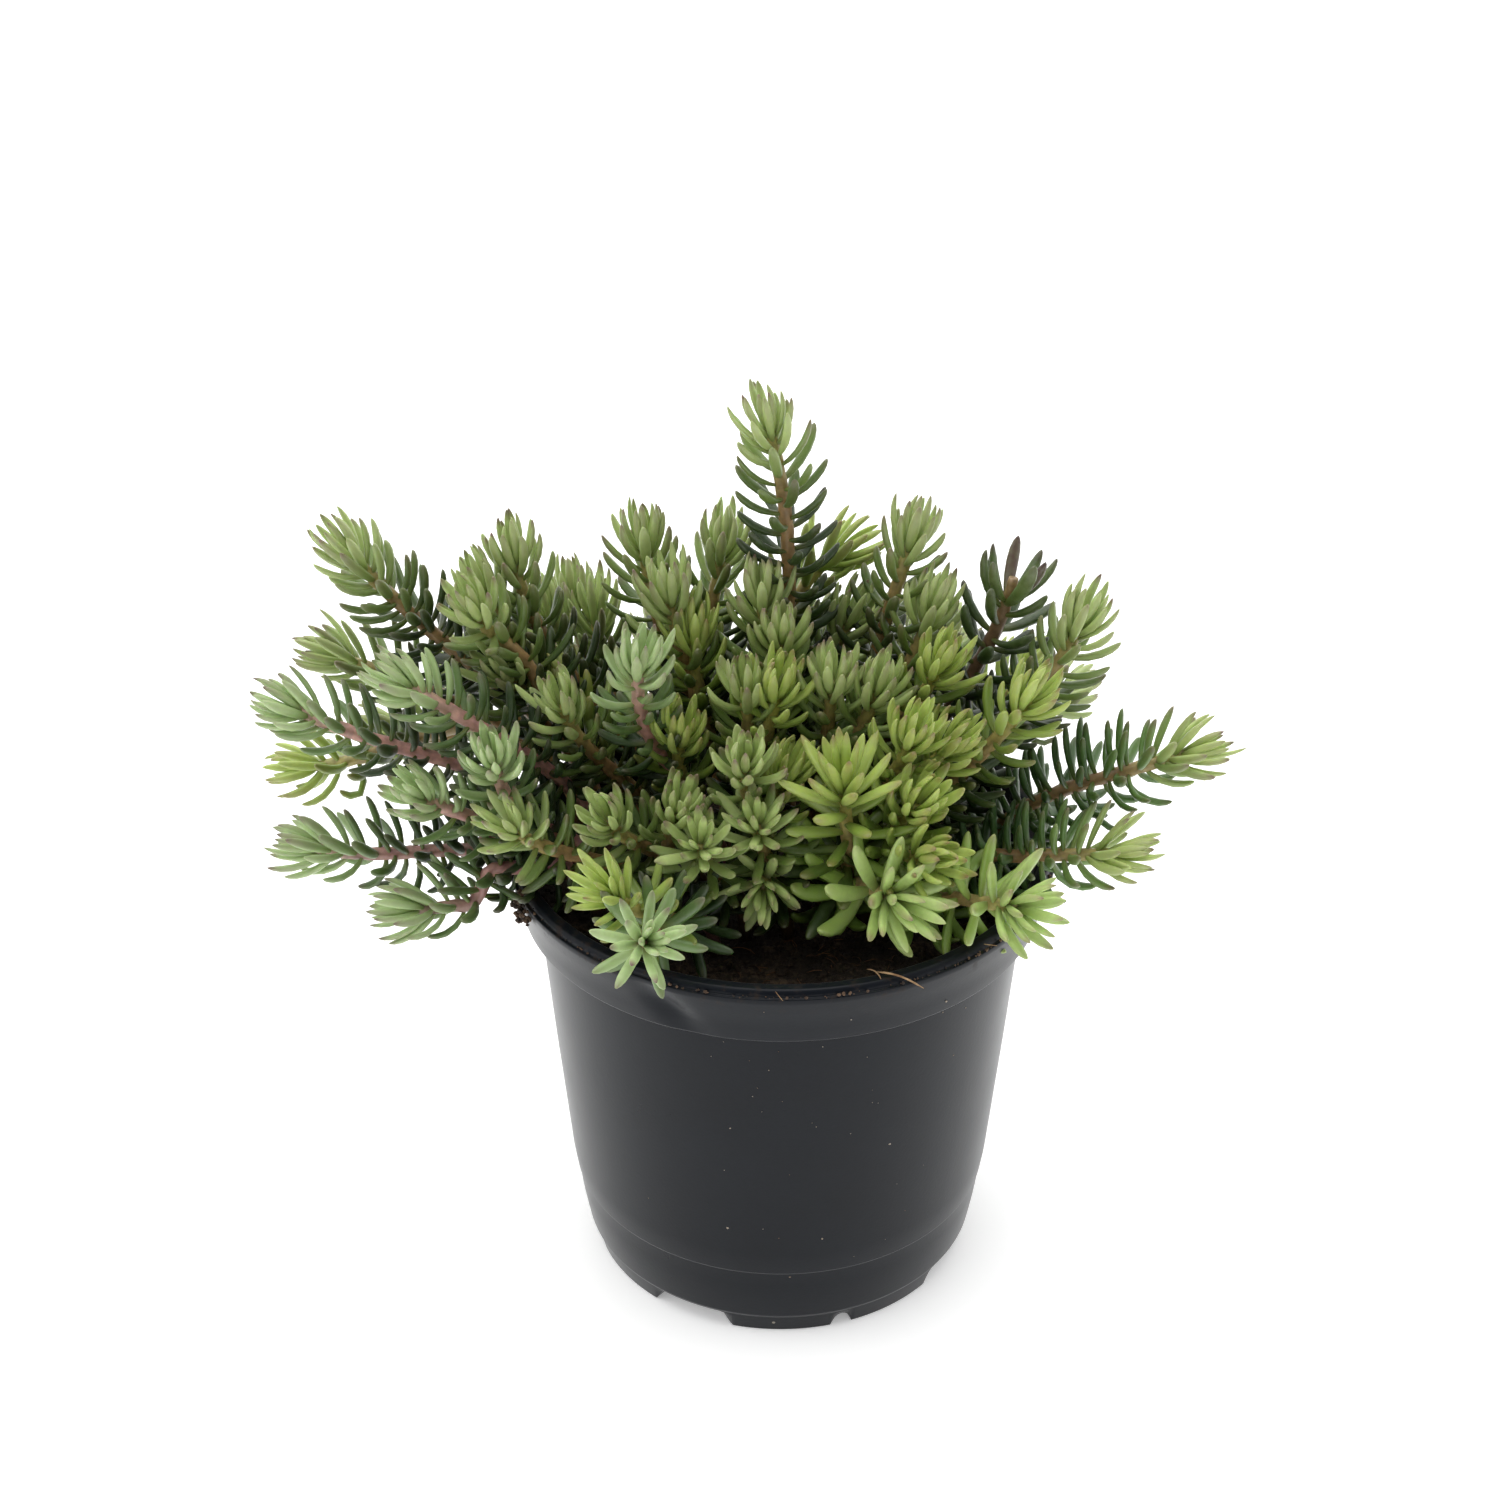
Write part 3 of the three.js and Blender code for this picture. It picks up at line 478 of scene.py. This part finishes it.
# Shoots of different plants that come too near are pushed apart, their roots and tips held; forks follow.
for _ in range(40):
    for i, a in enumerate(lines):
        for b in lines[i + 1 :]:
            if a["plant"] != b["plant"]:
                away = b["points"][None, 1:] - a["points"][1:, None]
                near = np.linalg.norm(away, axis=-1)
                close = near < SHOOT_GAP
                if close.any():
                    push = away * np.where(close, 0.5 * (SHOOT_GAP - near) / (near + 1e-6), 0)[..., None]
                    a["points"][1:-1] -= push.sum(1)[:-1]
                    b["points"][1:-1] += push.sum(0)[:-1]
for line in lines:
    if line["main"]:
        line["points"][0] = fork_of(line["main"]["points"])

# Stems and leaves: a fleshy green stem two and a half millimetres thick that turns brown or pink and is
# scarred where leaves have dropped, and round it, a golden angle apart, fleshy needles that are packed
# upright in the bud and open out as they age. Stem and leaves of a plant are one growth, so they are one
# piece.
STEM_SIDES, STEM_RADIUS, STEM_STEP = 10, 1.3, 1.25
BUD_CUT = 4.5  # from the growing point back to the stem's blunt end
FOOT_DEPTHS = np.array([8.6, 5.0, 2.0])  # how far a rooted stem goes on under the top of the peat
GOLDEN_ANGLE = math.radians(137.508)
BUD_AGES = 4.6 * (np.arange(17) / 17) ** 1.25  # an age is a distance back from the stem's end
SPACING, CROWDED_SPACING, CROWDED = 0.78, 0.52, ("right_long", "right_low", "left_high")
DARK_BUD_AGES, DARK_SPACING = 3.0 + 0.5 * BUD_AGES[11:], 0.95  # a bud that has died back to a few leaves
BROAD = {"front_pale": 1.3, "right_dark": 1.2, "right_rim": 1.15, "front_right": 1.08}
OPEN = {"front_trailing": 1.5, "front_pale": 1.5, "right_rim": 1.35, "front_low": 1.35, "left_rosette": 1.3}
OPEN |= {"front_small": 1.3, "right_long": 1.2, "right_low": 1.2}
LEAF_SIDES = 8
LEAF_PLACES = np.array([0.0, 0.06, 0.18, 0.38, 0.6, 0.78, 0.9, 0.965, 1.0])  # rings along a leaf, and its tip
LEAF_YOUNG = np.array([0.55, 0.62, 0.8, 0.97, 1.0, 0.84, 0.54, 0.26])  # the rings' shares of the width
LEAF_OLD = np.array([0.5, 0.6, 0.8, 1.0, 1.08, 1.02, 0.78, 0.45])
LEAF_FACES = closed_tube(len(LEAF_YOUNG), LEAF_SIDES)


def smooth_line(points):
    """Points an even step apart on the cubic spline through given points, their tangents and the way
    run."""
    padded = np.vstack([2 * points[0] - points[1], points, 2 * points[-1] - points[-2]])
    p0, p1, p2, p3 = (padded[i : len(padded) - 3 + i, None] for i in range(4))
    t = np.linspace(0, 1, 9)[None, :-1, None]
    dense = 0.5 * (2 * p1 + (p2 - p0) * t + (2 * p0 - 5 * p1 + 4 * p2 - p3) * t**2)
    dense = (dense + 0.5 * (3 * p1 - p0 - 3 * p2 + p3) * t**3).reshape(-1, 3)
    dense = np.vstack([dense, points[-1]])
    length = np.concatenate([[0], np.cumsum(np.linalg.norm(np.diff(dense, axis=0), axis=1))])
    run = np.linspace(0, length[-1], max(4, int(length[-1] / STEM_STEP)))
    even = np.stack([np.interp(run, length, dense[:, k]) for k in range(3)], -1)
    return even, unit(np.gradient(even, axis=0)), run


def carried_frames(tangents):
    """Two unit vectors across a line at each of its points, carried along it without twisting."""
    side = unit(np.cross(tangents[0], [0.3, 1.0, 0.2]))
    sides = []
    for tangent in tangents:
        side = unit(side - side.dot(tangent) * tangent)
        sides.append(side)
    return np.array(sides), np.cross(tangents, sides)


def stem_surface(points, side, front, age, chance):
    """A round tube about the line. Its radius falls exponentially by 0.4 mm into the bud, and is multiplied
    by two crossed waves round and along it, which are the leaf scars, and by a little chance."""
    around = np.arange(STEM_SIDES) * 2 * np.pi / STEM_SIDES
    scars = 1 + 0.09 * np.sin(age[:, None] * 3.1 + 2 * around) * np.sin(age[:, None] * 1.7 - around)
    scars *= 1 + 0.04 * chance.standard_normal(scars.shape)
    spokes = side[:, None] * np.cos(around)[:, None] + front[:, None] * np.sin(around)[:, None]
    rings = points[:, None] + spokes * ((STEM_RADIUS - 0.4 * np.exp(-age / 4))[:, None] * scars)[..., None]
    return np.vstack([rings.reshape(-1, 3), points[:1], points[-1:]])


def leaf_surfaces(base, along, out, age, length, width, level, wide, chance):
    """All leaves of a head at once, from where they leave the stem along and out of it. A spine starts at
    an angle to the stem that grows with age from 7 degrees to 61, or to 79 on a level shoot, times the
    head's own share. It curls in towards the shoot's tip, and bends up to the light, most on a level shoot.
    About it stands a half round section, flatter on the side that faces the stem, with its widths between
    the young and the old outline."""
    n = len(base)
    opening = (7 + (54 + 18 * level) * (1 - np.exp(-age / 7.5))) * wide + 5 * chance.standard_normal(n)
    opening = np.radians(np.minimum(opening, 98))[:, None]
    grown = np.clip(age / 9, 0, 1)[:, None]
    curl = (40 + 5 * grown) * (3 - 2 * wide) + 7 * chance.standard_normal(n)[:, None]
    at = 0.5 * (LEAF_PLACES[1:] + LEAF_PLACES[:-1])
    angle = opening + np.radians(curl) * (0.5 - at)
    way = along[:, None] * np.cos(angle)[..., None] + out[:, None] * np.sin(angle)[..., None]
    way[..., 2] += (0.1 + 0.5 * level + 0.6 * level**8) * np.sin(opening) * (0.2 + at) * grown
    way = unit(way)
    step = way * (length[:, None] * np.diff(LEAF_PLACES))[..., None]
    spine = base[:, None] + np.cumsum(np.concatenate([np.zeros((n, 1, 3)), step], 1), 1)
    tangent = np.concatenate([way[:, :1], unit(way[:, :-1] + way[:, 1:])], 1)
    across = unit(np.cross(out, along))[:, None]
    side = unit(across - (across * tangent).sum(-1, keepdims=True) * tangent)
    back = np.cross(tangent, side)
    around = np.arange(LEAF_SIDES) * 2 * np.pi / LEAF_SIDES
    thick = np.where(np.sin(around) > 0, 0.82, 0.5)
    blunt = np.clip(age / 10, 0, 1)[:, None]
    half = (0.5 * width[:, None] * (LEAF_YOUNG * (1 - blunt) + LEAF_OLD * blunt))[..., None]
    rings = spine[:, :-1, None] + side[:, :, None] * (half * np.cos(around))[..., None]
    rings = rings + back[:, :, None] * (half * thick * np.sin(around))[..., None]
    corners = np.concatenate([rings.reshape(n, -1, 3), base[:, None], spine[:, -1:]], 1)
    share = np.concatenate([np.repeat(LEAF_PLACES[:-1], LEAF_SIDES), [0, 1]])
    outer = np.concatenate([np.tile(np.sin(around), len(LEAF_YOUNG)), [0, 0]])
    return corners, share, outer


def head(line, chance):
    """The stem and the leaves of one shoot: their corners, their faces, four traits of each corner, and how
    many of the faces are the stem's. The traits are its age, its share of the leaf's length, which is -1 on
    a stem, a random number of the leaf's own, and how far round to the leaf's outer side it lies, from -1
    to 1."""
    plant, tip = line["plant"], line["tip"]
    points, tangents, run = smooth_line(line["points"])
    kept = run < run[-1] - BUD_CUT
    points, tangents, run = points[kept], tangents[kept], run[kept]
    total = run[-1]
    age = total - run
    if line["main"] is None:
        points = np.vstack([points[0] - UP * FOOT_DEPTHS[:, None], points])
        tangents = np.vstack([np.tile(UP, (len(FOOT_DEPTHS), 1)), tangents])
        age = np.concatenate([total + FOOT_DEPTHS, age])
    side, front = carried_frames(tangents)
    stem = stem_surface(points, side, front, age, chance)
    stem_faces = closed_tube(len(points), STEM_SIDES)
    stem_age = np.concatenate([np.repeat(age, STEM_SIDES), age[:1], age[-1:]])
    stem_traits = np.stack([stem_age, *(np.full(len(stem), value) for value in (-1.0, 0.5, 0.0))], -1)

    bud, spacing = BUD_AGES, CROWDED_SPACING if plant in CROWDED else SPACING
    if plant == "right_dark":
        bud, spacing = DARK_BUD_AGES, DARK_SPACING
    leaf_age = np.concatenate([bud, np.arange(bud[-1] + 0.4, min(tip[5] + 5, total - 3), spacing)])
    n = len(leaf_age)
    leaf_age[len(bud) :] += 0.3 * chance.standard_normal(n - len(bud))
    at = np.interp(-leaf_age, -age, np.arange(len(age)))
    low = np.minimum(at.astype(int), len(age) - 2)
    part = (at - low)[:, None]
    base = points[low] * (1 - part) + points[low + 1] * part
    along = unit(tangents[low] * (1 - part) + tangents[low + 1] * part)
    turn = np.arange(n) * GOLDEN_ANGLE + chance.uniform(0, 6.28) + 0.12 * chance.standard_normal(n)
    out = side[low] * np.cos(turn)[:, None] + front[low] * np.sin(turn)[:, None]
    out = unit(out - (out * along).sum(-1, keepdims=True) * along)
    grown = np.clip(leaf_age / 4, 0, 1)
    length = BROAD.get(plant, 1) * (9.2 + 1.4 * grown) * (1 + 0.08 * chance.standard_normal(n))
    width = BROAD.get(plant, 1) * (1.55 + 0.42 * grown) * (1 + 0.08 * chance.standard_normal(n))
    level, wide = math.cos(math.radians(tip[4])), OPEN.get(plant, 1)
    grown_so = leaf_age, length, width, level, wide
    leaves, share, outer = leaf_surfaces(base + 0.5 * out, along, out, *grown_so, chance)
    leaf_traits = np.broadcast_arrays(leaf_age[:, None], share, chance.uniform(0, 1, n)[:, None], outer)
    leaf_traits = np.stack(leaf_traits, -1).reshape(-1, 4)
    leaf_faces = repeated(LEAF_FACES, n, leaves.shape[1]) + len(stem)
    corners, traits = np.vstack([stem, leaves.reshape(-1, 3)]), np.vstack([stem_traits, leaf_traits])
    return corners, np.vstack([stem_faces, leaf_faces]), traits, len(stem_faces)


# Living stonecrop: a smooth, waxy, water-filled skin, so it is half glossy and light soaks into it. It is
# yellow-green in the bud and darkens with age. The leaf's foot is a duller, darker olive: partly its own
# tone and partly painted shade in the gaps where the leaves crowd at the stem. Its tip and back flush brown
# or rose, and a thin bloom of wax greys the young leaves. Stems go from green to brown bark or stay pink,
# and are darkened towards the peat below as painted shade under the leaves.
MOTTLE_WIDTH, SKIN_CELL = 1.4286, 0.3846  # the skin's cells are really a tenth of that, and would not show
TRAITS = ("age", "share", "number", "outer")


def sedum_skin(name, young, grown, old, blush, stem_young, stem_old):
    """The skin of one kind of shoot: of its leaves by age, of their flush, and of its stem by age."""
    leaf = bare(bpy.data.materials.new(name))
    place = add(leaf, "TexCoord", {}, "Object")
    traits = (add(leaf, "Attribute", {}, "Fac", attribute_name=trait) for trait in TRAITS)
    age, share, number, outer = traits
    mottle = add(leaf, "TexNoise", {"Vector": place, "Scale": 1000 / MOTTLE_WIDTH, "Detail": 5.0})
    wobble = add(leaf, "Math", {0: number, 1: 4.0, 2: -2.0}, operation="MULTIPLY_ADD")
    shown_age = add(leaf, "Math", {0: age, 1: wobble}, operation="ADD")
    step = add(leaf, "MapRange", {0: shown_age, 1: 0.0, 2: 34.0, 3: 0.0, 4: 1.0})
    ages = [(0.0, young), (0.1, young), (0.3, grown), (0.62, old), (1.0, old)]
    colour = add(leaf, "ValToRGB", {"Fac": step}, stops=ages)
    # Partly painted shade: the leaf's foot is mixed towards a darker olive, its own duller tone and also the
    # shade in the gaps where the leaves crowd at the stem.
    foot = add(leaf, "ValToRGB", {"Fac": share}, stops=[(0.0, 0.7), (0.35, 0.0)])
    colour = add(leaf, "Mix", {0: foot, 6: colour, 7: linear("#6d7328")}, 2, data_type="RGBA")

    fading = add(leaf, "ValToRGB", {"Fac": step}, stops=[(0.1, 1.0), (0.6, 0.3)])
    flush = add(leaf, "ValToRGB", {"Fac": number}, stops=[(0.1, 0.25), (0.9, 1.0)])
    flush = add(leaf, "Math", {0: flush, 1: fading}, operation="MULTIPLY")
    back = add(leaf, "MapRange", {0: outer, 1: -0.2, 2: 0.9, 3: 0.0, 4: 0.65})
    up_leaf = add(leaf, "ValToRGB", {"Fac": share}, stops=[(0.25, 0.0), (0.9, 1.0)])
    back = add(leaf, "Math", {0: back, 1: up_leaf}, operation="MULTIPLY")
    back = add(leaf, "Math", {0: back, 1: flush}, operation="MULTIPLY")
    end = add(leaf, "ValToRGB", {"Fac": share}, stops=[(0.76, 0.0), (0.96, 1.0)])
    end = add(leaf, "Math", {0: end, 1: flush}, operation="MULTIPLY")
    flushed = add(leaf, "Math", {0: end, 1: back}, operation="MAXIMUM")
    colour = add(leaf, "Mix", {0: flushed, 6: colour, 7: linear(blush)}, 2, data_type="RGBA")
    bloom = add(leaf, "ValToRGB", {"Fac": mottle}, stops=[(0.35, 0.0), (0.75, 0.3)])
    bloom = add(leaf, "Math", {0: bloom, 1: fading}, operation="MULTIPLY")
    colour = add(leaf, "Mix", {0: bloom, 6: colour, 7: linear("#87966a")}, 2, data_type="RGBA")

    bark_step = add(leaf, "MapRange", {0: age, 1: 2.0, 2: 14.0, 3: 0.0, 4: 1.0})
    bark = add(leaf, "Mix", {0: bark_step, 6: linear(stem_young), 7: linear(stem_old)}, 2, data_type="RGBA")
    spots = add(leaf, "ValToRGB", {"Fac": mottle}, stops=[(0.35, 0.7), (0.65, 1.1)])
    bark = add(leaf, "Mix", {0: 1.0, 6: bark, 7: spots}, 2, data_type="RGBA", blend_type="MULTIPLY")
    height = add(leaf, "SeparateXYZ", {"Vector": place}, "Z")
    # Painted shade: the stem is darkened towards dark brown from 96 mm down to 82 mm, near the peat, where it
    # stands in shadow under the leaves.
    shaded_near_peat = add(leaf, "MapRange", {0: height, 1: 0.082, 2: 0.096, 3: 1.0, 4: 0.0})
    bark = add(leaf, "Mix", {0: shaded_near_peat, 6: bark, 7: linear("#2a1c12")}, 2, data_type="RGBA")
    is_stem = add(leaf, "Math", {0: share, 1: -0.5}, operation="LESS_THAN")
    colour = add(leaf, "Mix", {0: is_stem, 6: colour, 7: bark}, 2, data_type="RGBA")

    cells = add(leaf, "TexNoise", {"Vector": place, "Scale": 1000 / SKIN_CELL, "Detail": 3.0})
    relief = add(leaf, "Bump", {"Height": cells, "Strength": 0.25, "Distance": 0.0002})
    flesh = {"Subsurface Weight": 0.2, "Subsurface Radius": (0.5, 1.0, 0.22), "Subsurface Scale": 0.001}
    flesh |= {"Base Color": colour, "Roughness": 0.4, "Specular IOR Level": 0.62, "Normal": relief}
    add(leaf, "OutputMaterial", {"Surface": add(leaf, "BsdfPrincipled", flesh)}, None)
    return leaf


SKINS = {
    "g": sedum_skin("sedum_glaucous", "#b2c37c", "#6a823a", "#243a12", "#6f5149", "#aaa060", "#9c7c50"),
    "p": sedum_skin("sedum_on_pink_stem", "#b6cb92", "#678448", "#263f18", "#6f5450", "#d0ac9c", "#c8948a"),
    "l": sedum_skin("sedum_lime", "#b4c667", "#7b9537", "#33491a", "#80683f", "#aca958", "#a48c5a"),
    "c": sedum_skin("sedum_comb", "#b8c87a", "#5c8038", "#3d6029", "#6f5149", "#aaa060", "#9c7c50"),
    "w": sedum_skin("sedum_pale", "#b9cf80", "#97b452", "#7a9a3e", "#8a7a5a", "#b8b070", "#a88c60"),
    "d": sedum_skin("sedum_dark", "#566a2e", "#33491b", "#1e3510", "#452e2b", "#937850", "#735640"),
}
WITHERED = sedum_skin("sedum_withered", "#5f4a40", "#544038", "#3c2c26", "#3a2622", "#5a4034", "#4a352b")
WITHERED_LEAVES = 2  # the two youngest leaves of the dark shoot, whose bud died
for seed, (plant, tips) in enumerate(PLANTS.items(), 100):
    chance = np.random.default_rng(seed)
    corners, faces, traits, kinds = [], [], [], []
    for line in (line for line in lines if line["plant"] == plant):
        head_corners, head_faces, head_traits, stem_faces = head(line, chance)
        kind = np.full(len(head_faces), tips.index(line["tip"]), np.int32)
        if plant == "right_dark":
            kind[stem_faces : stem_faces + WITHERED_LEAVES * len(LEAF_FACES)] = len(tips)
        faces.append(head_faces + sum(len(c) for c in corners))
        corners.append(head_corners)
        traits.append(head_traits)
        kinds.append(kind)
    piece = mesh_piece("sedum_" + plant, np.vstack(corners), np.vstack(faces), SKINS[tips[0][6]])
    for tip in tips[1:]:
        piece.data.materials.append(SKINS[tip[6]])
    if plant == "right_dark":
        piece.data.materials.append(WITHERED)
    piece.data.polygons.foreach_set("material_index", np.concatenate(kinds))
    for trait, values in zip(TRAITS, np.vstack(traits).astype(np.float32).T.copy()):
        piece.data.attributes.new(trait, "FLOAT", "POINT").data.foreach_set("value", values)
    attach(piece, "root")
    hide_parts("shoot_" + plant)

# The stage: a sheet of white paper lit until it is nearly burnt out, a wide soft light overhead and a
# weaker one from the left, a studio that is darker on the camera's side, and the photograph's viewpoint.
paper = bare(bpy.data.materials.new("white_paper"))
sheet = {"Base Color": linear("#fafafa"), "Roughness": 0.9}
sheet |= {"Emission Color": linear("#ffffff"), "Emission Strength": 0.3}
add(paper, "OutputMaterial", {"Surface": add(paper, "BsdfPrincipled", sheet)}, None)
FLOOR_HALF = 40000
floor_corners = FLOOR_HALF * np.array([(-1, -1, 0), (1, -1, 0), (1, 1, 0), (-1, 1, 0)])
floor = mesh_piece("floor", floor_corners, np.array([[0, 1, 2, 3]]), paper, smooth=False)

studio = bare(bpy.data.worlds.new("studio"))
bpy.context.scene.world = studio
to_the_back = add(studio, "SeparateXYZ", {0: add(studio, "TexCoord", {}, "Generated")}, "Y")
glow = add(studio, "MapRange", {0: to_the_back, 1: -0.85, 2: 0.1, 3: 0.22, 4: 1.25})
glow = add(studio, "Background", {"Color": linear("#ffffff"), "Strength": glow})
add(studio, "OutputWorld", {"Surface": glow}, None)
bpy.context.scene.view_settings.view_transform = "Standard"


def soft_light(name, way, angle, strength):
    """A sun that shines along a direction, as wide as its angle in degrees, which makes its shadows
    soft."""
    lamp = bpy.data.lights.new(name, "SUN")
    lamp.angle = math.radians(angle)
    lamp.energy = strength
    light = bpy.data.objects.new(name, lamp)
    bpy.context.scene.collection.objects.link(light)
    x, y, z = unit(np.array(way, float))
    light.rotation_euler = (math.acos(-z), 0, math.atan2(y, x) - math.pi / 2)


soft_light("overhead_softbox", (0.15, -0.2, -1), 70, 1.52)
soft_light("left_softbox", (0.8, 0.5, -0.9), 50, 0.4)

CAMERA_PLACE, CAMERA_PITCH = (0.00322, -0.46134, 0.377), 0.536  # metres, and radians below the level
camera = bpy.data.objects.new("camera", bpy.data.cameras.new("camera"))
bpy.context.scene.collection.objects.link(camera)
camera.location = CAMERA_PLACE
camera.rotation_euler = (math.pi / 2 - CAMERA_PITCH, 0, 0)
camera.data.sensor_width = 36
camera.data.lens = 66.53
camera.data.clip_start, camera.data.clip_end = 0.01, 50
bpy.context.scene.camera = camera
